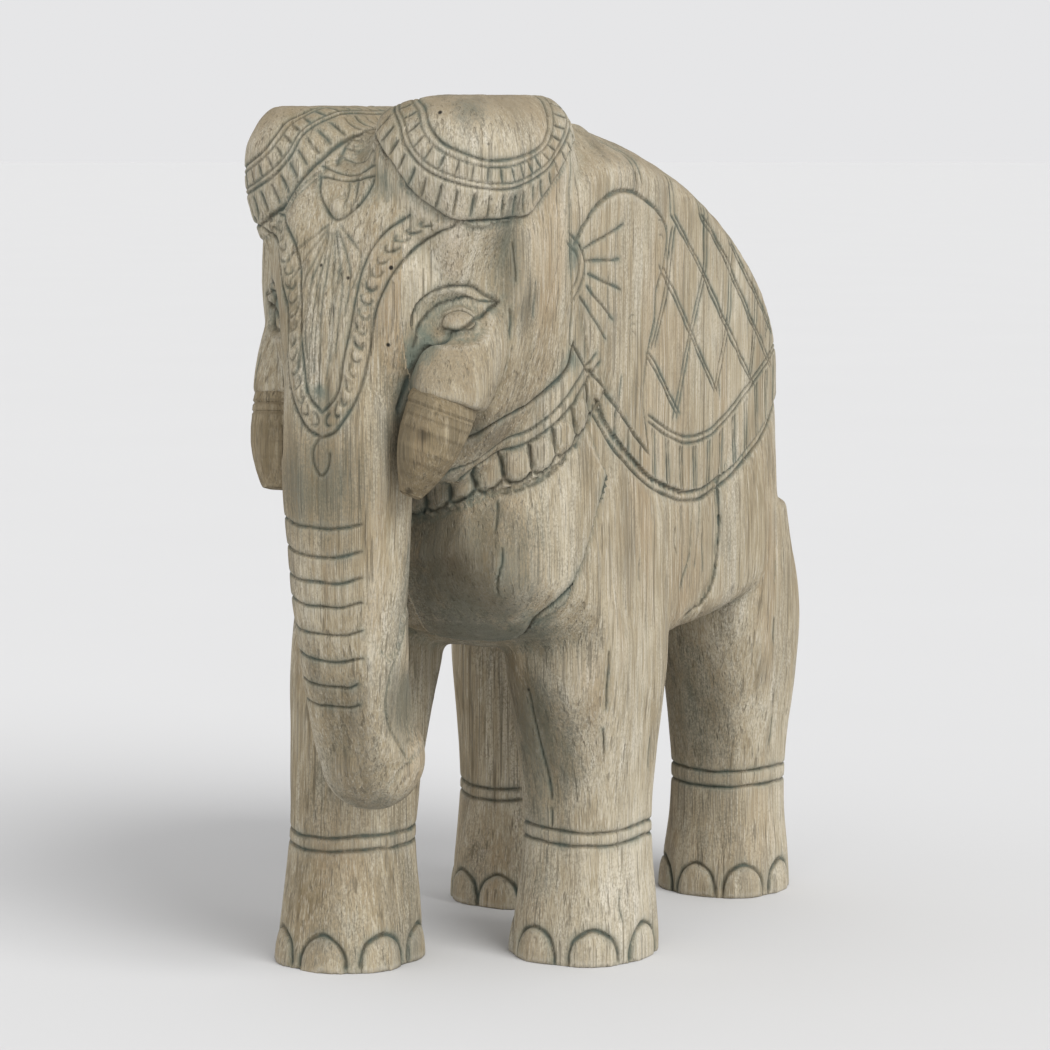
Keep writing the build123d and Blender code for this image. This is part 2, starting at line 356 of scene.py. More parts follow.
def carveEar(sign):
    cut(side(ear["outline"], sign), 3.4, 2.2, 0.7)
    cut(side(ear["front"], sign), 3.6, 2.4, 0.9)
    cut(side(ear["hollow"], sign), 3.0, 1.8, 0.7)
    cut(side(ear["hollowInner"], sign), 2.6, 1.5, 0.7)
    for a, b in ear["rays"]:
        cut(side([a, bowed(a, b), b], sign), 2.6, 1.5, 0.9, wobble=1.0)
    for a, b in ear["ticks"]:
        cut(side([a, bowed(a, b, 1, 1.5), b], sign), 1.8, 0.9, 0.6)


def carveSaddle(sign):
    gap = saddle["rimGap"]
    upper = side(saddle["upper"], sign) + mirrored(saddle["upperRear"], sign)
    lower = side(saddle["lower"], sign) + mirrored(saddle["lowerRear"], sign)
    cut(upper, 2.8, 1.6, 0.8)
    inner = cut(offsetDown(upper, gap), 2.8, 1.6, 0.8)
    cut(lower[2:], 3.2, 2.0, 0.9)
    outer = curveThrough(lower[3:])
    cut(offsetDown(lower, gap), 3.4, 2.4, 0.9)
    for shift in (-0.005, 0.005):
        rungs(inner, outer, 17, 0.02 + shift, 0.985 + shift, width=2.6, depth=1.6, stain=0.9)
    front = cut(side(saddle["lower"][:4], sign), 3.2, 2.0, 0.9)
    edge = curveThrough(side(ear["front"][1:], sign))
    rungs(edge, front, 4, 0.2, 0.86, width=3.4, depth=2.2, stain=0.9)
    front = mirrored(saddle["frontOver"], sign)
    cut(front, 3.0, 1.8, 0.8)
    cut([(x, y + 8, z) for x, y, z in front], 2.8, 1.5, 0.8)
    pair = (-saddle["pairHalf"], saddle["pairHalf"])
    for line in saddle["falling"] + saddle["rising"]:
        for shift in pair:
            cut(side([(y + shift, z) for y, z in line], sign), 2.4, 1.3, 0.9, wobble=1.4)
    for line in saddle["rump"]:
        for shift in pair:
            cut([(x, y, z + shift) for x, y, z in mirrored(line, sign)], 2.4, 1.3, 0.8, wobble=1.2)
    for y0, z0, y1, z1 in saddle["overTop"]:
        for shift in pair:
            shoulder = (120, y0 * 0.9 + y1 * 0.1 + shift, z0 * 0.6 + z1 * 0.4 + 14)
            over = [(131, y0 + shift, z0), shoulder, (60, (y0 + y1) / 2 + shift, z1 - 6),
                    (0, y1 + shift, z1)]
            cut(mirrored(over, sign), 2.4, 1.3, 0.7, wobble=1.2)


def carveCollar(sign):
    cut(mirrored(collar["jaw"], sign), 4.6, 3.2, 1.0)
    cut(mirrored(neckLine, sign), 3.4, 2.2, 0.7)
    cut(mirrored(collar["upperRim"], sign), 3.0, 1.8, 0.8)
    rim = cut(mirrored(collar["rim"], sign), 3.0, 1.8, 0.9)
    foot = curveThrough(mirrored(collar["foot"], sign))
    cut(offsetDown(mirrored(collar["foot"], sign)[3:], 4), 3.0, 1.8, 0.8)
    count = collar["shields"]
    for i in range(count):
        t0, t1 = i / count, (i + 1) / count
        top0, top1, low0, low1 = at(rim, t0), at(rim, t1), at(foot, t0), at(foot, t1)
        corner0, corner1 = top0 * 0.24 + low0 * 0.76, top1 * 0.24 + low1 * 0.76
        cut([top0, (top0 + low0) / 2, corner0], 4.4, 3.0, 1.0)
        dip = ((low0 + low1) / 2 - (corner0 + corner1) / 2) * 0.85
        inner0 = corner0 * 0.7 + corner1 * 0.3 + dip
        inner1 = corner0 * 0.3 + corner1 * 0.7 + dip
        cut([corner0, inner0, inner1, corner1], 4.0, 2.6, 1.0, wobble=0.8)


cap = {
    "oval": [(67, -262, 692), (76, -270, 678), (87, -271, 666), (100, -267, 659), (114, -256, 653),
             (122, -241, 652), (125, -211, 656), (125, -188, 662), (122, -172, 674), (112, -160, 690),
             (92, -150, 698), (66, -152, 701), (48, -180, 701), (46, -222, 701), (54, -250, 698)],
    "band": [(48, -269, 681), (57, -274, 663), (74, -274, 646), (96, -269, 636), (114, -253, 631),
             (124, -219, 632), (125, -182, 643), (124, -152, 662), (114, -126, 682), (88, -112, 692),
             (54, -118, 696), (28, -150, 698), (22, -200, 698), (32, -245, 693)],
    "edge": [(30, -269, 663), (49, -274, 643), (64, -272, 625), (84, -268, 612), (96, -262, 606),
             (110, -250, 606), (118, -227, 607), (121, -196, 610), (124, -172, 628), (124, -144, 652),
             (112, -112, 670), (84, -98, 680), (44, -100, 682), (12, -130, 682), (4, -190, 682),
             (10, -245, 680)],
    "squares": 34,
    "tongues": 38,
    "middle": 3, "rightBack": 3, "rightDrop": 7,     # how the right cap lies against the left one
}


def capPoints(name, sign):
    if sign > 0:
        return cap[name]
    back, drop = cap["rightBack"], cap["rightDrop"]
    return [(x, y + back, z - drop) for x, y, z in mirrored(cap[name], sign, cap["middle"])]


def carveCap(sign):
    oval = curveThrough(capPoints("oval", sign), True)
    band = curveThrough(capPoints("band", sign), True)
    edge = curveThrough(capPoints("edge", sign), True)
    cut(capPoints("oval", sign), 3.0, 1.8, 0.8, True)
    cut(capPoints("band", sign), 2.8, 1.6, 0.8, True)
    cut(capPoints("edge", sign), 4.0, 2.8, 0.9, True)
    for share in (0.24, 0.8):
        between = [at(oval, t) * (1 - share) + at(band, t) * share for t in np.arange(24) / 24]
        cut(between, 2.4, 1.2, 0.7, True)
    for t in np.linspace(0, 1, cap["squares"], endpoint=False):
        a, b = at(oval, t), at(band, t)
        cut([a + (b - a) * 0.3, (a + b) / 2, a + (b - a) * 0.74], 2.8, 1.5, 0.9)
    for i in range(cap["tongues"]):
        t0, t1 = i / cap["tongues"], (i + 1) / cap["tongues"]
        a, b = at(band, t0), at(edge, t0)
        cut([a + (b - a) * 0.2, (a + b) / 2, a + (b - a) * 0.82], 3.2, 1.8, 0.8, wobble=1.2)


brow = {
    "lid": [(60, -268, 526), (65, -266, 544), (73, -258, 554), (85, -248, 558), (97, -237, 556),
            (107, -222, 547)],
    "inner": [(60, -268, 512), (66, -265, 529), (75, -256, 542), (87, -246, 548), (99, -236, 548),
              (106, -223, 546)],
    "lower": [(45, -266, 462), (52, -267, 482), (60, -268, 498), (67, -267, 510), (78, -266, 518),
              (96, -255, 526), (103, -242, 536), (108, -221, 546)],
    "ball": (90, -252, 532),
    "ballHalf": (14.4, 7.2, 12),
}
forehead = {
    "middle": -4,
    "beadIn": [(58, -269, 611), (38, -277, 596), (25, -280, 574), (21, -286, 550), (18, -291, 525),
               (14, -294, 502), (9, -296, 476), (-4, -297, 462)],
    "beadOut": [(96, -262, 604), (72, -264, 594), (59, -270, 583), (48, -281, 565), (38, -283, 545),
                (34, -283, 525), (33, -288, 503), (25, -294, 473), (10, -297, 450), (-4, -297, 443)],
    "beads": [(80, -265, 602), (66, -267, 598), (52, -273, 588), (42, -278, 575), (34, -282, 561),
              (29, -284, 547), (27, -287, 533), (25, -288, 519), (24, -291, 505), (21, -294, 491),
              (17, -296, 477), (9, -297, 465)],
    "beadCount": 17, "beadRadius": 4.6, "beadTurn": 1.7,
    "fan": [((-10, 607), (-45, 580), (-58, 556)), ((-10, 604), (-38, 568), (-48, 530)),
            ((-10, 602), (-30, 555), (-38, 505)), ((-9, 600), (-23, 550), (-27, 490)),
            ((-8, 600), (-16, 545), (-17, 482)), ((-6, 600), (-8, 540), (-8, 476)),
            ((-4, 600), (0, 550), (0, 486)), ((-3, 602), (8, 556), (7, 505)),
            ((-2, 604), (14, 570), (14, 535)), ((0, 606), (22, 582), (18, 556)),
            ((-20, 566), (-22, 520), (-17, 500)), ((-12, 560), (-12, 520), (-12, 490)),
            ((4, 575), (3, 530), (3, 500))],
    "tassel": [(-25, -265, 640), (-22, -270, 626), (-12, -273, 613), (-3, -274, 607), (8, -273, 613),
               (19, -270, 624), (26, -267, 638)],
    "drop": [(-6, -297, 444), (-12, -297, 432), (-10, -297, 420), (-4, -297, 414), (2, -297, 420),
             (4, -297, 432)],
    "bars": [(-266, 648), (-268, 640)],
    "strap": [[(-12, -262, 650), (-4, -250, 672), (2, -225, 684), (2, -170, 686)],
              [(24, -266, 650), (22, -256, 676), (20, -225, 690), (18, -170, 690)]],
}
trunk = {
    "rings": [376, 354, 334, 315, 293, 271, 249, 231],
    "web": [(42, -240, 300), (39, -250, 284), (38, -262, 266), (35, -266, 248), (33, -266, 234),
            (34, -260, 218), (37, -250, 204), (39, -238, 190)],
}
legs = {
    "leftFore": {"x": 77, "y": -32, "rings": (110, 99), "nails": (-156, -104, -52, -2)},
    "rightFore": {"x": -78, "y": -146, "rings": (109, 98), "nails": (-128, -80, -30, 18)},
    "leftHind": {"x": 72, "y": 240, "rings": (113, 99), "nails": (-142, -94, -46, 2)},
    "rightHind": {"x": -72, "y": 112, "rings": (105, 95), "nails": (-160, -117, -76, -36)},
}
# the arch of a toenail, as (degrees to each side, height)
nailArch = ((-20, 0), (-19.5, 11), (-14, 23), (0, 30), (14, 23), (19.5, 11), (20, 0))


def carveHead(sign):
    cut(mirrored(brow["lid"], sign), 4.0, 2.4, 0.9)
    cut(mirrored(brow["inner"], sign), 3.0, 1.6, 1.0)
    cut(mirrored(brow["lower"], sign), 5.0, 3.6, 1.0)
    (x, y, z), (halfX, halfY, halfZ) = brow["ball"], brow["ballHalf"]
    ring = []
    for a in np.linspace(0, 2 * math.pi, 12, endpoint=False):
        c, s = math.cos(a), math.sin(a)
        ring.append((x + halfX * c, y + halfY * c - 3 * s, z + halfZ * s + 2 * c))
    cut(mirrored(ring, sign), 3.4, 2.4, 1.0, True)
    m = forehead["middle"]
    cut(mirrored(forehead["beadIn"], sign, m), 2.8, 1.7, 0.9)
    cut(mirrored(forehead["beadOut"], sign, m), 3.2, 2.0, 0.9)
    inner = curveThrough(mirrored(forehead["beadIn"], sign, m))
    outer = curveThrough(mirrored(forehead["beadOut"], sign, m))
    radius, reach = forehead["beadRadius"], forehead["beadTurn"]
    for t in np.linspace(0.03, 0.95, forehead["beadCount"]):
        a, b = at(inner, t), at(outer, t)
        middle, across = (a + b) / 2, (b - a) / np.linalg.norm(b - a)
        ahead = (at(inner, t + 0.03) + at(outer, t + 0.03)) / 2 - middle
        ahead /= np.linalg.norm(ahead)
        turns = np.linspace(-reach, reach, 7)
        arc = [middle + radius * (math.cos(q) * ahead + math.sin(q) * across) for q in turns]
        cut(arc, 2.4, 1.5, 0.55, wobble=0.6)


def carveForehead():
    for line in forehead["fan"]:
        cut([(x, -292, z) for x, z in line], 2.2, 1.1, 0.45, wobble=1.6)
    cut(forehead["tassel"], 3.0, 1.8, 0.8)
    cut(forehead["drop"], 2.6, 1.4, 0.8)
    for y, z in forehead["bars"]:
        cut([(-24, y, z), (0, y - 2, z), (26, y, z)], 2.8, 1.6, 0.8)
    for line in forehead["strap"]:
        cut(line, 2.8, 1.6, 0.8)
    for t in (0.25, 0.5, 0.75):
        cut([(-10 + 8 * t, -262 + 14 * t, 652 + 26 * t), (24, -266 + 12 * t, 652 + 28 * t)], 2.4, 1.2, 0.7)
    for x in (2, 10):
        cut([(x, -271, 638), (x + 1, -272, 626), (x - 1, -273, 616)], 2.4, 1.2, 0.7)


def carveTrunk():
    for z in trunk["rings"]:
        end = 28 if z > 260 else 22
        ring = [(-52, -262, z + 6), (-44, -284, z + 2), (-20, -296, z - 2), (10, -296, z - 2),
                (end, -290, z + 3)]
        cut(ring, 3.0, 1.9, 0.8, wobble=1.2)
    cut(trunk["web"], 4.0, 1.6, 0.35)


tail = {"line": [(0, 287, 446), (3, 293, 390), (5, 293, 330), (2, 288, 262)], "half": 9.0,
        "hairs": (-6, -2, 2, 6)}


def carveTail():
    for shift in (-tail["half"], tail["half"]):
        cut([(x + shift, y, z) for x, y, z in tail["line"]], 4.2, 2.8, 0.8)
    for shift in tail["hairs"]:
        cut([(2 + shift * 1.2, 290, 292), (2 + shift * 1.6, 289, 264)], 2.0, 1.2, 0.6)


def carveLeg(leg):
    x, y = leg["x"], leg["y"]
    for z in leg["rings"]:
        ring = [(x + 55 * math.cos(a), y + 57 * math.sin(a), z + 1.2 * math.sin(3 * a + x))
                for a in np.linspace(0, 2 * math.pi, 20, endpoint=False)]
        cut(ring, 3.4, 2.2, 0.9, True, wobble=1.0)
    for degrees in leg["nails"]:
        turns = [(math.radians(degrees + turn), z) for turn, z in nailArch]
        cut([(x + 57 * math.cos(a), y + 60 * math.sin(a), z) for a, z in turns], 3.8, 2.6, 0.9, wobble=1.0)


thigh = {
    "crease": [(102, 378), (104, 337), (92, 297), (66, 278), (44, 270)],      # where it overlaps the belly
    "folds": [[(31, 366), (28, 336)], [(55, 371), (46, 328), (29, 299)], [(70, 375), (56, 313)]],
    "sides": ((1, 0), (-1, -90)),       # side, and how far its hind leg stands back
}


def moved(line, back):
    return [(y + back, z) for y, z in line]


def carveFlank(sign, back):
    cut(side(moved(thigh["crease"], back), sign), 4.6, 3.2, 0.8)
    for line in thigh["folds"]:
        cut(side(moved(line, back), sign), 2.6, 1.3, 0.5, wobble=1.5)


# splits in the wood: some at known places, then shorter ones of random length
cracks = [
    [(63, -101, 226), (69, -94, 180), (77, -84, 135)], [(75, -83, 128), (76, -84, 112)],
    [(128, -88, 262), (129, -88, 236), (128, -87, 214)], [(127, -86, 196), (128, -86, 176)],
    [(131, 100, 470), (132, 101, 452)], [(90, -196, 392), (90, -197, 366)],
    [(78, -170, 350), (80, -172, 322)], [(116, -214, 590), (117, -212, 560)],
    [(117, -218, 540), (118, -214, 518)], [(128, 214, 250), (126, 216, 226)],
]
checks = [
    (130, 70, 340), (131, 20, 350), (128, 215, 300), (125, 225, 160), (128, -40, 330), (127, -20, 180),
    (124, -60, 60), (-130, -120, 330), (-128, 60, 300), (-128, 150, 200), (-126, -140, 90), (90, 290, 330),
    (-60, 288, 360), (20, 292, 420), (-100, -240, 500), (128, -90, 560), (128, -70, 480), (-128, -80, 540),
    (126, -190, 560),
]


def carveSplits():
    for line in cracks:
        cut(line, 2.2, 1.8, 0.9, wobble=1.6)
    for x, y, z in checks:
        long = dice.uniform(14, 34)
        middle = (x, y + dice.uniform(-2, 2), z - long / 2)
        end = (x, y + dice.uniform(-3, 3), z - long)
        cut([(x, y, z), middle, end], 1.8, 1.2, 0.7, wobble=1.5)


for sign in (1, -1):
    carveEar(sign)
    carveSaddle(sign)
    carveCollar(sign)
    carveCap(sign)
    carveHead(sign)
carveForehead()
carveTrunk()
carveTail()
cut(breast, 5.0, 3.2, 1.0)
for leg in legs.values():
    carveLeg(leg)
carveSplits()
for sign, back in thigh["sides"]:
    carveFlank(sign, back)
say("%d strokes" % len(strokes))


# Relief: steps beside outlines, bosses and keels.
def insideOutline(points, outline):
    # even-odd test of (y, z) points against a closed outline
    inside = np.zeros(len(points), dtype=bool)
    n = len(outline)
    for i in range(n):
        (y0, z0), (y1, z1) = outline[i], outline[(i + 1) % n]
        if z0 == z1:
            continue
        crosses = (z0 > points[:, 1]) != (z1 > points[:, 1])
        inside ^= crosses & (points[:, 0] < (y1 - y0) * (points[:, 1] - z0) / (z1 - z0) + y0)
    return inside


def outlineDistance(points, outline):
    best = np.full(len(points), 1e9)
    n = len(outline)
    for i in range(n):
        a, b = np.array(outline[i], float), np.array(outline[(i + 1) % n], float)
        d = b - a
        t = np.clip(((points - a) @ d) / max(d @ d, 1e-9), 0, 1)
        best = np.minimum(best, np.linalg.norm(points - a - t[:, None] * d, axis=1))
    return best


def smoothOutline(points, closed=True):
    flat = [(0, y, z) for y, z in points]
    return [(p[1], p[2]) for p in curveThrough(flat, closed, 4.0)]


def stepAround(mesh, outline, drop, fade, sign, share):
    # pushes the wood beside an outline back, so that what lies inside stands proud;
    # share tells how much of the drop each place keeps
    points, normals = readPoints(mesh), readNormals(mesh)
    near = np.where((sign * points[:, 0] > 70) & (sign * normals[:, 0] > 0.15))[0]
    flat = points[near][:, 1:]
    distance = outlineDistance(flat, outline)
    close = distance < 4 * fade
    near, flat, distance = near[close], flat[close], distance[close]
    inside = insideOutline(flat, outline)
    signed = np.where(inside, distance, -distance)
    amount = drop * (1 - smoothStep((signed - 0.3) / 3.0)) * np.exp(-np.maximum(-signed, 0) / fade)
    points[near] -= normals[near] * (amount * share(flat))[:, None]
    writePoints(mesh, points)


def nearLine(points, line, reach):
    # index of points near a line, with their distance to it and the nearest place on it
    low, high = line.min(0) - reach, line.max(0) + reach
    box = np.where(np.all((points > low) & (points < high), axis=1))[0]
    tree = KDTree(len(line))
    for i, p in enumerate(line):
        tree.insert(Vector(p), i)
    tree.balance()
    found = [tree.find(Vector(p)) for p in points[box]]
    distance = np.array([f[2] for f in found])
    place = np.array([f[0] for f in found]).reshape(-1, 3)
    close = distance < reach
    return box[close], distance[close], place[close]


def stepBelow(mesh, line, inner, drop, fade):
    # as stepAround, for a rim that runs round a form; inner is a place inside the rim
    points, normals = readPoints(mesh), readNormals(mesh)
    near, distance, place = nearLine(points, line, 3.2 * fade)
    toInner = np.array(inner) - place
    toInner /= np.linalg.norm(toInner, axis=1)[:, None]
    signed = np.einsum("ij,ij->i", points[near] - place, toInner)
    outside = signed < 0
    signed = np.where(outside, -distance, distance)
    amount = drop * (1 - smoothStep((signed + 2.0) / 3.0)) * np.exp(-np.maximum(-signed, 0) / fade)
    points[near] -= normals[near] * amount[:, None]
    writePoints(mesh, points)


def swell(mesh, centre, size, height):
    # a rounded boss along the surface normals; size is a radius, or one for each axis
    points, normals = readPoints(mesh), readNormals(mesh)
    away = np.linalg.norm((points - np.array(centre)) / np.array(size), axis=1)
    lift = np.sqrt(np.clip(1 - away ** 2, 0, 1))
    near = np.where(lift > 0)[0]
    points[near] += normals[near] * (height * lift[near])[:, None]
    writePoints(mesh, points)


def raiseRidge(mesh, line, wide, height):
    # a soft keel along a line
    points, normals = readPoints(mesh), readNormals(mesh)
    near, distance, place = nearLine(points, curveThrough(line), wide)
    points[near] += normals[near] * (height * (1 - distance / wide) ** 1.4)[:, None]
    writePoints(mesh, points)


keels = [
    (tail["line"], 11, 4.0),
    ([(44, -284, 462), (41, -283, 413), (36, -285, 360), (31, -283, 300), (24, -274, 235),
      (16, -262, 190)], 17, 3.0),
    ([(130, -94, 396), (128, -90, 320), (126, -86, 250), (123, -80, 188), (121, -78, 125)], 22, 2.6),
    ([(-50, -284, 420), (-50, -284, 330), (-44, -278, 240)], 12, 1.5),
    ([(131, 26, 640), (133, 70, 610), (134, 120, 575)], 16, 1.5),
]


# a place inside each rim, the drop beside the rim and how far that fades out
rims = {
    "cap": ((64, -190, 680), 3.2, 14), "collar": ((70, -230, 470), 4.0, 16),
    "breast": ((30, -190, 330), 6.0, 26),
    "web": ((-10, -260, 240), 3.5, 16), "thigh": ((120, 180, 300), 3.0, 16),
}
# reach and height of each rounded boss
bosses = {"shield": (12.5, 2.2), "socket": ((33, 26, 21), -6.5), "ball": ((17, 14, 13), 7.5),
          "bead": (5.6, 1.6), "bell": (7.0, 3.0)}
bellPlace = (-4, -272, 617)
# closes the cloth's outline over the back
clothAbove = [(300, 470), (300, 900), (-50, 900), (-50, 640), (-140, 600)]


def earShare(flat):
    # no step at the ear's lower tip or behind it
    return smoothStep((flat[:, 0] + flat[:, 1] - 395) / 40) * smoothStep((-flat[:, 0] - 12) / 30)


def clothShare(flat):
    # no step higher up, where the cloth runs on over the back
    return smoothStep((560 - flat[:, 1]) / 60)


def dropBeside(mesh, line, name, sign=1, back=0):
    (x, y, z), drop, fade = rims[name]
    stepBelow(mesh, line, (sign * x, y + back, z), drop, fade)


def carveRelief(mesh):
    earShape = smoothOutline(ear["outline"], False) + smoothOutline(ear["front"], False)[::-1]
    clothShape = smoothOutline(saddle["lower"], False) + clothAbove
    for sign in (1, -1):
        stepAround(mesh, earShape, ear["raise"], 22, sign, earShare)
        stepAround(mesh, clothShape, saddle["raise"], 16, sign, clothShare)
        dropBeside(mesh, curveThrough(capPoints("edge", sign), True), "cap", sign)
        foot = curveThrough(mirrored(collar["foot"], sign))
        rim = curveThrough(mirrored(collar["rim"], sign))
        dropBeside(mesh, foot, "collar", sign)
        for i in range(collar["shields"]):
            t = (i + 0.5) / collar["shields"]
            swell(mesh, onSkin([at(rim, t) * 0.5 + at(foot, t) * 0.5])[0], *bosses["shield"])
        x, y, z = brow["ball"]
        swell(mesh, mirrored([(x - 4, y - 2, z + 1)], sign)[0], *bosses["socket"])
        swell(mesh, mirrored([(x + 1, y + 1, z)], sign)[0], *bosses["ball"])
        for bead in mirrored(forehead["beads"], sign, forehead["middle"]):
            swell(mesh, tuple(onSkin([bead])[0]), *bosses["bead"])
    swell(mesh, bellPlace, *bosses["bell"])
    dropBeside(mesh, curveThrough(breast), "breast")
    dropBeside(mesh, curveThrough(trunk["web"]), "web")
    for sign, back in thigh["sides"]:
        crease = side(moved(thigh["crease"][:4], back), sign)
        dropBeside(mesh, curveThrough(crease), "thigh", sign, back)
    for line, wide, height in keels:
        raiseRidge(mesh, line, wide, height)
    for leg in legs.values():
        for degrees in leg["nails"]:
            a = math.radians(degrees)
            swell(mesh, (leg["x"] + 55 * math.cos(a), leg["y"] + 57 * math.sin(a), 2), (20, 20, 28), 2.2)


carveRelief(skin)
say("relief")


# A finer mesh beside the strokes, then the V cuts themselves.
def allSamples():
    lines = [s["line"] for s in strokes]
    place = np.concatenate(lines)
    owner = np.concatenate([np.full(len(line), i) for i, line in enumerate(lines)])
    depth = np.concatenate([s["depth"] for s in strokes])
    ends = np.cumsum([len(line) for line in lines])
    after = np.arange(len(place)) + 1
    before = np.arange(len(place)) - 1
    for i, s in enumerate(strokes):
        first, last = ends[i] - len(lines[i]), ends[i] - 1
        before[first] = last if s["closed"] else first
        after[last] = first if s["closed"] else last
    return place, owner, depth, before, after


samplePlace, sampleOwner, sampleDepth, sampleBefore, sampleAfter = allSamples()
skinTree = buildTree(skin)
samplePlace = onSkin(samplePlace)
sampleTree = KDTree(len(samplePlace))
for i, p in enumerate(samplePlace):
    sampleTree.insert(Vector(p), i)
sampleTree.balance()
strokeWidth = np.array([s["width"] for s in strokes])
strokeStain = np.array([s["stain"] for s in strokes])
say("%d samples" % len(samplePlace))


# lengths in millimetres; the others are shares of the stroke's width, its half or its depth
groove = {
    "fineReach": 4.2, "reach": 9, "half": 0.56, "vee": 0.82, "shoulder": 0.18, "shoulderReach": 2.0,
    "lineReach": 0.56, "haloReach": 2.2,
}


def cutDistance(points):
    found = [sampleTree.find(Vector(p)) for p in points]
    return np.array([f[1] for f in found]), np.array([f[2] for f in found])


def refine(mesh, reach):
    index, distance = cutDistance(readPoints(mesh))
    near = distance < reach
    bm = bmesh.new()
    bm.from_mesh(mesh)
    bm.verts.ensure_lookup_table()
    chosen = [e for e in bm.edges if near[e.verts[0].index] and near[e.verts[1].index]]
    bmesh.ops.subdivide_edges(bm, edges=chosen, cuts=1, use_grid_fill=True)
    bm.to_mesh(mesh)
    bm.free()


refine(skin, groove["fineReach"])
say("refined to %d points" % len(skin.vertices))


def segmentDistance(points, a, b):
    # distance of each point to its own segment
    d = b - a
    t = np.clip(np.einsum("ij,ij->i", points - a, d) / np.maximum(np.einsum("ij,ij->i", d, d), 1e-9), 0, 1)
    return np.linalg.norm(points - a - t[:, None] * d, axis=1)


def makeCuts(mesh):
    points, normals = readPoints(mesh), readNormals(mesh)
    index, distance = cutDistance(points)
    near = np.where(distance < groove["reach"])[0]
    index = index[near]
    here = samplePlace[index]
    back, ahead = samplePlace[sampleBefore[index]], samplePlace[sampleAfter[index]]
    exact = np.minimum(segmentDistance(points[near], back, here),
                       segmentDistance(points[near], here, ahead))
    half = strokeWidth[sampleOwner[index]] * groove["half"]
    vee = np.clip(1 - exact / half, 0, 1)
    shoulder = np.exp(-(exact / (groove["shoulderReach"] * half)) ** 2)
    profile = groove["vee"] * vee + groove["shoulder"] * shoulder
    points[near] -= normals[near] * (sampleDepth[index] * profile)[:, None]
    writePoints(mesh, points)
    for name, reach in (("cutLine", groove["lineReach"]), ("cutHalo", groove["haloReach"])):
        tone = np.zeros(len(points))
        tone[near] = np.exp(-(exact / (reach * half)) ** 2) * strokeStain[sampleOwner[index]]
        setAttribute(mesh, name, tone)


makeCuts(skin)
say("cuts")

# Facets left by hand tools, and where the wood is worn or hollow.
facets = {"across": 15, "along": 42, "deep": 0.75, "fineAcross": 4.5, "fineAlong": 26, "fineDeep": 0.22,
          "wear": 5}


def ripple(points, across, along):
    # noise drawn out along the upright grain
    return np.array([noise.noise(Vector((x / across, y / across, z / along))) for x, y, z in points])


def roughen(mesh):
    points, normals = readPoints(mesh), readNormals(mesh)
    flat = ripple(points, facets["across"], facets["along"])
    fine = ripple(points, facets["fineAcross"], facets["fineAlong"])
    points += normals * (flat * facets["deep"] + fine * facets["fineDeep"])[:, None]
    points[points[:, 2] < 0, 2] = 0
    writePoints(mesh, points)


def markWear(mesh):
    points, normals, edges = readPoints(mesh), readNormals(mesh), readEdges(mesh)
    curve = np.einsum("ij,ij->i", points - neighbourMean(points, edges), normals)
    curve = neighbourMean(curve[:, None], edges)[:, 0] * facets["wear"]
    setAttribute(mesh, "worn", np.clip(curve, 0, 1))
    setAttribute(mesh, "hollow", np.clip(-curve, 0, 1))


roughen(skin)
markWear(skin)
say("facets")

# Stains and painted shade by place: (centre, reach along x, y, z, strength). The first list darkens the
# wood: painted shade on and under the breast, between the legs and in the hollow beside the trunk, and dark
# patches elsewhere.
grimeAndShadeSpots = [
    ((55, -195, 320), (75, 50, 75), 0.95), ((-60, -190, 330), (80, 60, 80), 0.9),
    ((60, -150, 270), (90, 60, 26), 1.0), ((66, -92, 200), (38, 22, 100), 0.75),
    ((62, -92, 70), (30, 30, 30), 0.3), ((-78, -205, 30), (60, 30, 40), 0.35),
    ((-78, -205, 150), (44, 30, 50), 0.4), ((-60, -120, 220), (40, 60, 80), 0.45),
    ((66, 190, 190), (50, 40, 100), 0.5), ((76, 180, 60), (40, 40, 60), 0.3),
    ((-70, 60, 190), (60, 50, 130), 0.15), ((-70, 60, 40), (60, 50, 50), 0.15),
    ((58, -262, 455), (16, 34, 56), 0.9), ((95, -225, 440), (34, 44, 26), 0.8),
    ((114, -218, 572), (14, 16, 60), 0.8), ((90, -60, 672), (60, 60, 30), 0.5),
    ((100, -250, 690), (14, 20, 40), 0.4), ((36, -236, 232), (14, 28, 34), 0.95),
    ((-10, -296, 405), (50, 20, 40), 0.5), ((-45, -270, 330), (14, 40, 120), 0.25),
    ((104, 120, 330), (30, 14, 60), 0.5), ((60, -262, 440), (20, 20, 24), 0.9),
    ((63, -95, 180), (3, 20, 60), 0.9), ((78, -280, 436), (7, 8, 9), 1.0),
    ((100, -262, 440), (5, 8, 6), 0.9), ((66, -220, 712), (80, 80, 18), 0.35),
    ((118, -200, 540), (10, 14, 26), 0.7),
]
tanSpots = [
    ((-10, -290, 400), (60, 40, 70), 1.0), ((-10, -290, 280), (60, 40, 100), 0.2),
    ((86, -262, 500), (40, 40, 42), 1.0), ((66, -215, 706), (90, 80, 22), 1.0),
    ((-60, -215, 698), (80, 70, 28), 0.8), ((-5, -290, 550), (60, 40, 60), 0.2),
    ((70, 180, 180), (60, 60, 150), 0.3), ((-70, 60, 160), (60, 60, 190), 0.2),
    ((70, -90, 180), (46, 24, 130), 0.6), ((-75, -200, 120), (60, 50, 130), 0.3),
    ((-10, -260, 190), (60, 60, 40), 0.1), ((110, -230, 570), (20, 40, 60), 0.4),
    ((60, -180, 360), (80, 50, 60), 0.6), ((120, 120, 620), (60, 120, 50), 0.3),
    ((0, 280, 300), (160, 60, 300), 0.3),
]
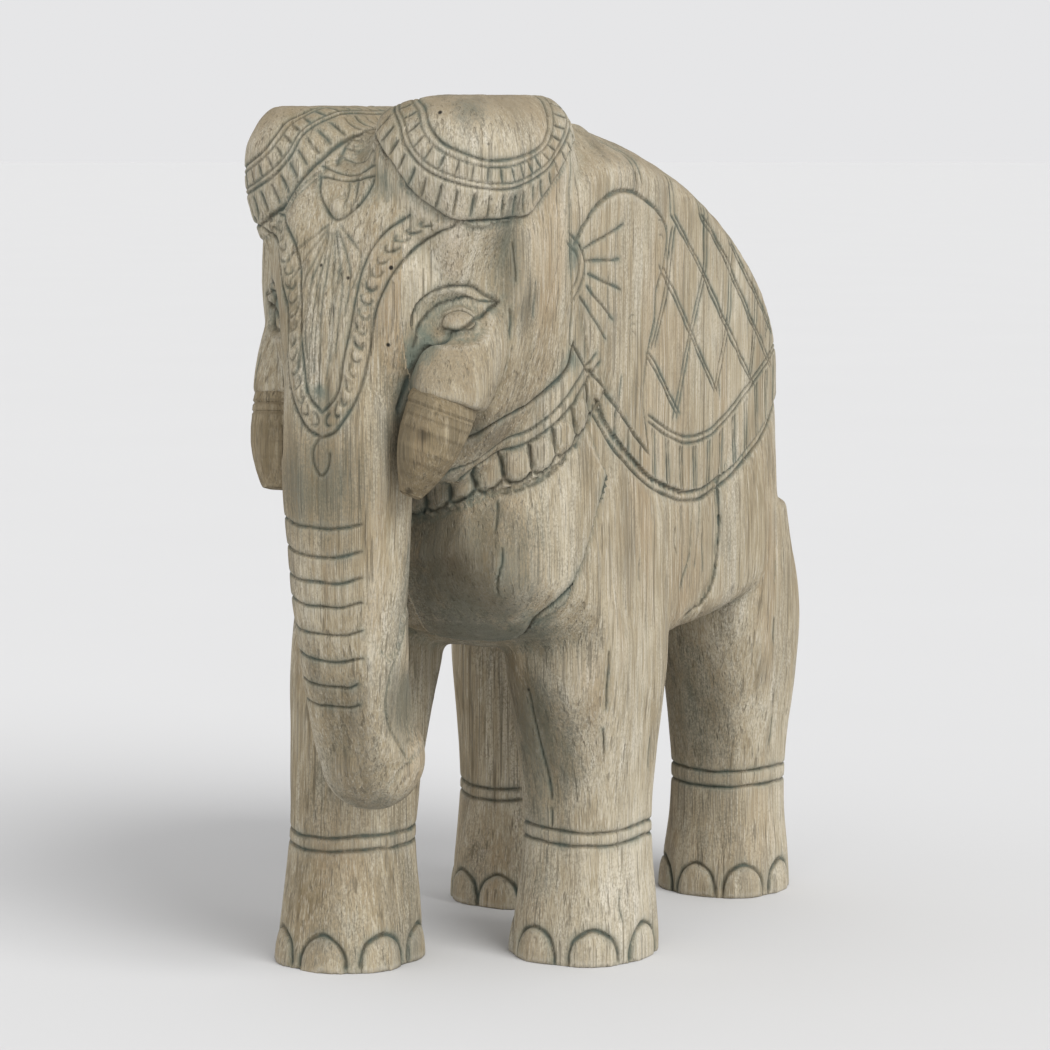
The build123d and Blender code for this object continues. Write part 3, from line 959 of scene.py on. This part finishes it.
tealSpots = [
    ((84, -256, 538), (28, 24, 15), 1.0), ((64, -266, 508), (14, 16, 26), 1.0),
    ((-84, -245, 536), (28, 24, 15), 1.0), ((40, -272, 634), (16, 16, 16), 0.6),
    ((122, -132, 580), (14, 12, 22), 0.6), ((100, -150, 285), (30, 26, 16), 0.8),
    ((-8, -296, 478), (14, 10, 8), 0.7), ((98, 120, 400), (20, 14, 12), 0.4),
    ((123, -136, 500), (10, 12, 20), 0.6), ((66, -262, 480), (10, 14, 40), 0.9),
    ((91, -252, 533), (15, 15, 11), -1.0), ((-91, -252, 533), (15, 15, 11), -1.0),
]


def paintSpots(mesh, name, spots, floor=None):
    points = readPoints(mesh)
    amount = np.zeros(len(points)) if floor is None else floor(points)
    for centre, size, strength in spots:
        away = np.linalg.norm((points - np.array(centre)) / np.array(size), axis=1)
        if strength > 0:
            amount = np.maximum(amount, strength * np.exp(-away ** 2))
        else:
            amount *= 1 + strength * np.exp(-away ** 4)
    setAttribute(mesh, name, np.clip(amount, 0, 1))


# painted shade: darker low down between the legs, near the middle
def betweenLegs(points):
    return smoothStep((40 - np.abs(points[:, 0])) / 30) * smoothStep((300 - points[:, 2]) / 60) * 0.55


paintSpots(skin, "grime", grimeAndShadeSpots, betweenLegs)
paintSpots(skin, "tan", tanSpots)
paintSpots(skin, "teal", tealSpots)
skin.polygons.foreach_set("use_smooth", np.ones(len(skin.polygons), dtype=bool))


# The carved skin is sawn into its blocks at the glued joints.
joints = {
    "throat": 404.0, "trunkBack": -222.0, "trunkHalf": 55.0, "napeY": -116.0, "napeRise": 286.0,
    "leftShoulder": 42.0, "leftHaunch": 158.0, "rightShoulder": -38.0, "rightHaunch": 50.0,
    "trunkRear": [(-194.5, 100), (-187.5, 200), (-200, 250)], "far": 800.0, "below": -9,
}


def prism(name, outline, start, end, axis):
    # a closed block: an outline in (y, z) drawn along x, or in (x, y) drawn along z
    bm = bmesh.new()
    if axis == "x":
        corners = [bm.verts.new((start * mm, y * mm, z * mm)) for y, z in outline]
        run = ((end - start) * mm, 0, 0)
    else:
        corners = [bm.verts.new((x * mm, y * mm, start * mm)) for x, y in outline]
        run = (0, 0, (end - start) * mm)
    face = bm.faces.new(corners)
    grown = bmesh.ops.extrude_face_region(bm, geom=[face])
    moved = [v for v in grown["geom"] if isinstance(v, bmesh.types.BMVert)]
    bmesh.ops.translate(bm, verts=moved, vec=run)
    bmesh.ops.recalc_face_normals(bm, faces=bm.faces)
    mesh = bpy.data.meshes.new(name)
    bm.to_mesh(mesh)
    bm.free()
    return linkObject(name, mesh)


def sawOut(source, cutters, name):
    thing = linkObject(name + "Cut", source)
    for i, cutter in enumerate(cutters):
        saw = thing.modifiers.new("saw%d" % i, "BOOLEAN")
        saw.operation = "INTERSECT"
        saw.solver = "MANIFOLD"
        saw.object = cutter
    mesh = bakeModifiers(thing, name)
    bpy.data.objects.remove(thing)
    for cutter in cutters:
        bpy.data.objects.remove(cutter)
    return mesh


def sawBlocks():
    j = joints
    far, below, throat, back, half = j["far"], j["below"], j["throat"], j["trunkBack"], j["trunkHalf"]
    lean = (j["napeY"] - back) / j["napeRise"]
    top = back + (far - throat) * lean
    rear = [(-far, j["trunkRear"][0][1])] + j["trunkRear"] + [(j["trunkRear"][-1][0], throat),
                                                              (back, throat)]
    front = [(-far, below)] + rear + [(top, far)]
    trunkShape = rear + [(back, far), (-far, far)]
    headShape = [(-far, throat), (back, throat), (top, far), (-far, far)]

    def slab(a, b):
        return [(a, below), (b, below), (b, far), (a, far)]

    def plan(s):
        return [(0, far), (0, back), (s * half, back), (s * half, -far), (s * far, -far), (s * far, far)]

    blocks = {
        "trunk_block": [prism("t", trunkShape, -half, half, "x")],
        "head_left_block": [prism("h", headShape, 0, far, "x"), prism("p", plan(1), below, far, "z")],
        "head_right_block": [prism("h", headShape, -far, 0, "x"), prism("p", plan(-1), below, far, "z")],
    }
    for word, s in (("left", 1), ("right", -1)):
        a, b = j[word + "Shoulder"], j[word + "Haunch"]
        span = (0, far) if s > 0 else (-far, 0)
        blocks[word + "_foreleg_block"] = [prism("f", front + [(a, far), (a, below)], *span, "x")]
        blocks[word + "_flank_block"] = [prism("k", slab(a, b), *span, "x")]
        blocks[word + "_hindleg_block"] = [prism("b", slab(b, far), *span, "x")]
    return {name: sawOut(skin, cutters, name) for name, cutters in blocks.items()}


sawn = sawBlocks()
say("sawn into %d blocks" % len(sawn))


class Wire:
    # one output of a node, used in sums
    def __init__(self, shader, socket):
        self.shader, self.socket = shader, socket

    def sum(self, kind, first, second):
        return self.shader.add("Math", {"operation": kind}, {0: first, 1: second})

    def __add__(self, other):
        return self.sum("ADD", self, other)

    def __sub__(self, other):
        return self.sum("SUBTRACT", self, other)

    def __rsub__(self, other):
        return self.sum("SUBTRACT", other, self)

    def __mul__(self, other):
        return self.sum("MULTIPLY", self, other)

    __radd__, __rmul__ = __add__, __mul__


class Shader:
    def __init__(self, name):
        self.material = bpy.data.materials.new(name)
        self.material.use_nodes = True
        self.tree = self.material.node_tree
        self.tree.nodes.clear()
        self.place = self.add("TexCoord", out="Object")

    def add(self, kind, settings=None, inputs=None, out=0):
        node = self.tree.nodes.new("ShaderNode" + kind)
        for key, value in (settings or {}).items():
            if key == "stops":
                ramp = node.color_ramp
                while len(ramp.elements) < len(value):
                    ramp.elements.new(0.5)
                for element, (position, colour) in zip(ramp.elements, value):
                    element.position = position
                    element.color = (colour if isinstance(colour, tuple) else (colour,) * 3) + (1,)
            else:
                setattr(node, key, value)
        for key, value in (inputs or {}).items():
            if isinstance(value, Wire):
                self.tree.links.new(value.socket, node.inputs[key])
            else:
                node.inputs[key].default_value = value
        return Wire(self, node.outputs[out])

    def noise(self, scale, detail=3.0, rough=0.5, shift=0.0, distortion=0.0):
        away = (shift, shift * 0.7, shift * 0.4)
        spot = self.add("Mapping", None, {"Vector": self.place, "Scale": scale, "Location": away})
        return self.add("TexNoise", None,
                        {"Vector": spot, "Scale": 1.0, "Detail": detail, "Roughness": rough,
                        "Distortion": distortion})

    def span(self, value, low, high, toLow=0.0, toHigh=1.0):
        return self.add("MapRange", {"clamp": True}, {"Value": value, "From Min": low, "From Max": high,
                                                     "To Min": toLow, "To Max": toHigh})

    def blend(self, factor, first, second, how="MIX"):
        return self.add("Mix", {"data_type": "RGBA", "blend_type": how, "clamp_factor": True},
                        {0: factor, 6: opaque(first), 7: opaque(second)}, 2)

    def distanceTo(self, x, y, z):
        spot = (x * mm, y * mm, z * mm)
        return self.add("VectorMath", {"operation": "DISTANCE"}, {0: self.place, 1: spot}, 1)

    def attribute(self, name):
        return self.add("Attribute", {"attribute_name": name}, None, "Fac")

    def close(self, surface):
        output = self.tree.nodes.new("ShaderNodeOutputMaterial")
        self.tree.links.new(surface.socket, output.inputs["Surface"])


def opaque(colour):
    return colour if isinstance(colour, Wire) else tuple(colour) + (1.0,)


# Bleached and limed wood.
woods = {
    "leftWood": {"pith": (0.035, 0.30), "tilt": (0.05, 0.03), "shift": 0.0, "limed": 0.08},
    "rightWood": {"pith": (-0.03, -0.31), "tilt": (-0.04, 0.05), "shift": 3.7, "limed": 0.03},
    "tuskWood": {"pith": (0.0, -0.20), "tilt": (0.12, 0.1), "shift": 9.1, "limed": 0.04},
    "dowelWood": {"pith": (0.3, 0.3), "tilt": (0.3, 0.4), "shift": 5.3, "limed": 0.0},
}
tones = {
    "lime": (0.60, 0.56, 0.475), "pale": (0.475, 0.425, 0.325), "mid": (0.32, 0.265, 0.175),
    "brown": (0.19, 0.147, 0.083), "dark": (0.075, 0.062, 0.038), "pigment": (0.12, 0.147, 0.118),
    "line": (0.036, 0.029, 0.017), "warm": (0.37, 0.25, 0.14), "tealLine": (0.055, 0.068, 0.056),
    "hole": (0.02, 0.017, 0.012),
}
wormholes = [(-13, -283, 573), (13, -285, 564), (48, -279, 572), (46, -281, 514), (115, -250, 664),
             (82, -264, 688), (20, -292, 440), (63, -101, 226), (56, -272, 470), (30, -286, 330),
             (128, 20, 330)]

# dark knots of the tusks, with their radius
knots = [(82, -286, 448, 7.5), (66, -284, 405, 3.2), (88, -284, 462, 2.0), (-62, -250, 440, 6.0)]


def makeWood(name, carved=True):
    w = woods[name]
    s = Shader(name)
    k = w["shift"]
    broad = s.noise((9, 9, 3.2), 4, 0.6, k)
    patch = s.noise((26, 26, 8), 4, 0.65, k + 11)
    board = s.noise((130, 130, 1.8), 2, 0.5, k + 23)
    grain = s.noise((420, 420, 8), 3, 0.6, k + 5)
    pores = s.noise((1150, 1150, 24), 2, 0.6, k + 31)
    fine = s.noise((2400, 2400, 70), 2, 0.6, k + 43)
    speck = s.noise((620, 620, 420), 2, 0.65, k + 51)
    ringPlace = s.add("Mapping", None, {"Vector": s.place, "Location": (-w["pith"][0], -w["pith"][1], 0),
                                        "Rotation": (w["tilt"][0], w["tilt"][1], 0)})
    ringSizes = {"Vector": ringPlace, "Scale": 26.0, "Distortion": 5.0, "Detail": 3.0, "Detail Scale": 0.5}
    rings = s.add("TexWave", {"wave_type": "RINGS", "rings_direction": "Z", "wave_profile": "SAW"},
                  ringSizes, "Fac")
    tone = broad * 0.7 + patch * 0.6 + board * 0.28 + grain * 0.42 + rings * 0.06
    tan = s.attribute("tan") * 0.5 if carved else s.span(patch, 0.3, 0.7, 0.36, 0.5)
    base = s.add("ValToRGB", {"stops": [(0.0, tones["brown"]), (0.34, tones["mid"]), (0.66, tones["pale"]),
                                        (1.0, tones["lime"])]}, {0: s.span(tone, 0.78, 1.26) - tan})
    warm = s.span(s.noise((18, 18, 5), 3, 0.6, k + 61), 0.54, 0.72)
    base = s.blend(warm * 0.3, base, tones["warm"])
    streak = s.span(pores, 0.50, 0.66) * s.span(patch + grain, 0.72, 1.12, 0.2, 1.0)
    base = s.blend(streak * 0.72, base, tones["dark"])
    fleck = s.span(s.noise((700, 700, 16), 2, 0.6, k + 91), 0.54, 0.68)
    base = s.blend(fleck * (1 - tan * 1.6) * 0.5, base, tones["lime"])
    crack = s.span(s.noise((300, 300, 4.5), 2, 0.5, k + 71), 0.62, 0.68)
    base = s.blend(crack * 0.5, base, tones["dark"])
    base = s.blend(s.span(fine, 0.3, 0.7) * 0.6, base, tones["lime"], "SOFT_LIGHT")
    soot = s.span(s.noise((34, 34, 7), 4, 0.65, k + 101) + speck * 0.2, 0.64, 0.76)
    base = s.blend(soot * 0.34, base, tones["dark"])
    mottle = s.span(speck * 0.6 + patch * 0.4, 0.49, 0.60)
    base = s.blend(mottle * 0.42, base, tones["brown"])
    # painted shade: surfaces facing upward are darkened towards brown, more in some patches than others
    upward = s.add("SeparateXYZ", None, {0: s.add("NewGeometry", out="Normal")}, 2)
    base = s.blend(s.span(upward, 0.2, 0.75) * s.span(patch, 0.3, 0.6, 0.4, 0.85), base, tones["brown"])
    base = s.blend(w["limed"], base, tones["lime"])
    if carved:
        grime, worn = s.attribute("grime"), s.attribute("worn")
        # painted shade and dirt: the painted shade of the breast, between the legs and the hollows,
        # together with random dirty patches, darkens the wood and tints it with pigment
        dirtAndShade = s.span(grime * 0.62 + patch * 0.9 + grain * 0.4 + speck * 0.35, 0.94, 1.28)
        base = s.blend(dirtAndShade * 0.66, base, tones["dark"])
        base = s.blend(dirtAndShade * s.span(broad, 0.42, 0.6) * 0.4, base, tones["pigment"])
        base = s.blend(worn * s.span(speck, 0.35, 0.6) * 0.35, base, tones["lime"])
        stain = s.span(s.noise((55, 55, 30), 3, 0.6, k + 81), 0.40, 0.62)
        teal = s.span(s.attribute("teal") * 0.8 + stain * 0.3 + pores * 0.35 + speck * 0.2, 0.6, 1.1)
        base = s.blend(teal * 0.8, base, tones["pigment"])
        base = s.blend(s.attribute("cutHalo") * s.span(stain, 0, 1, 0.08, 0.58), base, tones["pigment"])
        base = s.blend(s.attribute("hollow") * s.span(stain, 0, 1, 0.2, 0.6), base, tones["pigment"])
        lineTone = s.blend(s.span(patch * 0.5 + stain * 0.15, 0.31, 0.40), tones["line"], tones["tealLine"])
        base = s.blend(s.attribute("cutLine") * s.span(stain + grain, 0.3, 1.3, 0.62, 0.92), base, lineTone)
        for x, y, z in wormholes:
            base = s.blend(s.span(s.distanceTo(x, y, z), 0.0023, 0.0013), base, tones["hole"])
    else:
        base = s.blend(s.span(patch, 0.5, 0.66) * 0.5, base, tones["dark"])
        for x, y, z, wide in knots:
            away = s.distanceTo(x, y, z) + grain * 0.003
            base = s.blend(s.span(away, (wide + 2.5) * mm, (wide - 0.5) * mm) * 0.75, base, tones["line"])
    rough = s.span(pores * 0.5 + patch * 0.5, 0.3, 0.7, 0.93, 0.72)
    height = grain * 0.7 + pores * 0.8 + fine * 0.35 + speck * 0.3 - crack * 1.0 + rings * 0.12
    bumped = s.add("Bump", None, {"Strength": 0.7, "Distance": 0.0014, "Height": height})
    surface = s.add("BsdfPrincipled", None, {"Base Color": base, "Roughness": rough, "Normal": bumped,
                                             "Specular IOR Level": 0.28})
    s.close(surface)
    return s.material


leftWood, rightWood = makeWood("leftWood"), makeWood("rightWood")
tuskWood, dowelWood = makeWood("tuskWood", False), makeWood("dowelWood", False)
say("woods")

# The nine carved blocks.
blockPieces = {
    "head_left_block": ("headLeft", leftWood), "head_right_block": ("headRight", rightWood),
    "trunk_block": ("trunkFront", rightWood), "left_foreleg_block": ("forelegLeft", leftWood),
    "left_flank_block": ("flankLeft", leftWood), "left_hindleg_block": ("hindlegLeft", leftWood),
    "right_foreleg_block": ("forelegRight", rightWood), "right_flank_block": ("flankRight", rightWood),
    "right_hindleg_block": ("hindlegRight", rightWood),
}
for node, (name, wood) in blockPieces.items():
    mesh = sawn[node]
    mesh.name = name
    mesh.materials.clear()
    mesh.materials.append(wood)
    piece = linkObject(name, mesh)
    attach(piece, "root")
    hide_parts(node)
say("blocks placed")

# The tusks: (share of the length, radius) from the buried root to the end.
tusks = {
    "tuskLeft": {"node": "tusk_left", "mouth": (80, -257, 470), "end": (62, -275, 401), "bow": (3, -5, 0),
                 "radii": [(-0.12, 24), (-0.02, 26.6), (0.06, 27), (0.09, 25.9), (0.12, 26.7), (0.2, 26.4),
                 (0.34, 25.5), (0.5, 23.2), (0.66, 19.8), (0.8, 15.8), (0.92, 11.8), (1.0, 8.6),
                 (1.035, 5.4)]},
    "tuskRight": {"node": "tusk_right", "mouth": (-83, -224, 466), "end": (-80, -236, 393),
                  "bow": (-2, -3, 0),
                  "radii": [(-0.12, 24), (-0.02, 27), (0.06, 27.2), (0.085, 25.7), (0.11, 26.8),
                  (0.16, 26.6), (0.18, 25.4), (0.2, 26.2), (0.34, 25.6), (0.5, 24.4), (0.66, 22.6),
                  (0.8, 20.6), (0.92, 18.2), (0.985, 16.2), (1.0, 13.0)]},
}


def makeTusk(name, t):
    mouth, end, bow = Vector(t["mouth"]), Vector(t["end"]), Vector(t["bow"])
    turn = (end - mouth).to_track_quat("Z", "Y").to_matrix()
    bm = bmesh.new()
    ring = bmesh.ops.create_circle(bm, cap_ends=True, segments=64, radius=1.0)["verts"]
    bmesh.ops.rotate(bm, verts=ring, cent=(0, 0, 0), matrix=turn)
    at0, radius = Vector((0, 0, 0)), 1.0
    face = bm.faces[:]
    for share, r in t["radii"]:
        spot = mouth + (end - mouth) * share + bow * (1 - (2 * share - 1) ** 2)
        if share > t["radii"][0][0]:
            grown = bmesh.ops.extrude_face_region(bm, geom=face)
            ring = [v for v in grown["geom"] if isinstance(v, bmesh.types.BMVert)]
            face = [f for f in grown["geom"] if isinstance(f, bmesh.types.BMFace)]
        for v in ring:
            v.co = spot + (v.co - at0) * (r / radius)
        at0, radius = spot, r
    bmesh.ops.inset_region(bm, faces=face, thickness=radius - 2.0)
    bmesh.ops.translate(bm, verts=list(face[0].verts), vec=(mouth - end).normalized() * 5)
    bmesh.ops.recalc_face_normals(bm, faces=bm.faces[:])
    bmesh.ops.scale(bm, verts=bm.verts[:], vec=(mm, mm, mm))
    mesh = bpy.data.meshes.new(name)
    bm.to_mesh(mesh)
    bm.free()
    thing = linkObject(name, mesh)
    smooth = thing.modifiers.new("round", "SUBSURF")
    smooth.levels = smooth.render_levels = 2
    done = bakeModifiers(thing, name)
    bpy.data.objects.remove(thing)
    points, normals = readPoints(done), readNormals(done)
    writePoints(done, points + normals * ripple(points, 11, 30)[:, None] * 0.8)
    done.polygons.foreach_set("use_smooth", np.ones(len(done.polygons), dtype=bool))
    done.materials.append(tuskWood)
    piece = linkObject(name, done)
    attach(piece, "root")
    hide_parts(t["node"])


for name, t in tusks.items():
    makeTusk(name, t)
say("tusks")

for name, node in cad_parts.items():
    if name.endswith("dowels"):
        for slot in node.material_slots:
            slot.material = dowelWood
        if not node.material_slots:
            node.data.materials.append(dowelWood)

# Floor, light and camera.
studio = {
    "floorTone": 0.565, "floorReach": 60.0, "sky": (0.79, 0.79, 0.80),
    "key": {"turn": (48, 0, 72), "strength": 2.6, "angle": 36},
    "fill": {"turn": (60, 0, -20), "strength": 0.5, "angle": 70},
}


def makeStudio():
    bm = bmesh.new()
    bmesh.ops.create_circle(bm, cap_ends=True, segments=64, radius=studio["floorReach"])
    mesh = bpy.data.meshes.new("floor")
    bm.to_mesh(mesh)
    bm.free()
    floor = linkObject("floor", mesh)
    s = Shader("paleFloor")
    tone = s.span(s.noise((2, 2, 2), 3, 0.5), 0.3, 0.7, studio["floorTone"] * 0.99, studio["floorTone"])
    s.close(s.add("BsdfPrincipled", None,
                  {"Base Color": tone, "Roughness": 0.9, "Specular IOR Level": 0.1}))
    mesh.materials.append(s.material)
    floor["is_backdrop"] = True
    world = bpy.data.worlds.new("sky")
    world.use_nodes = True
    world.node_tree.nodes["Background"].inputs["Color"].default_value = studio["sky"] + (1,)
    bpy.context.scene.world = world
    for name in ("key", "fill"):
        values = studio[name]
        light = bpy.data.lights.new(name, "SUN")
        light.energy, light.angle = values["strength"], math.radians(values["angle"])
        lamp = linkObject(name, light)
        lamp.rotation_euler = [math.radians(a) for a in values["turn"]]


view = {"lens": 114.585, "sensor": 36.0, "place": (1.39677, -2.39984, 0.67808), "down": 6.8206,
        "turn": 30.167}


def makeCamera():
    viewer = bpy.data.cameras.new("camera")
    viewer.lens, viewer.sensor_width = view["lens"], view["sensor"]
    camera = linkObject("camera", viewer)
    camera.location = view["place"]
    camera.rotation_euler = (math.radians(90 - view["down"]), 0, math.radians(view["turn"]))
    bpy.context.scene.camera = camera


makeStudio()
makeCamera()
bpy.context.scene.view_settings.view_transform = "Standard"

for label, low, high in (("cad",) + tuple(cadBox), ("visual",) + tuple(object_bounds())):
    json.dumps({label: [[round(v, 4) for v in low], [round(v, 4) for v in high]]}) + chr(10)
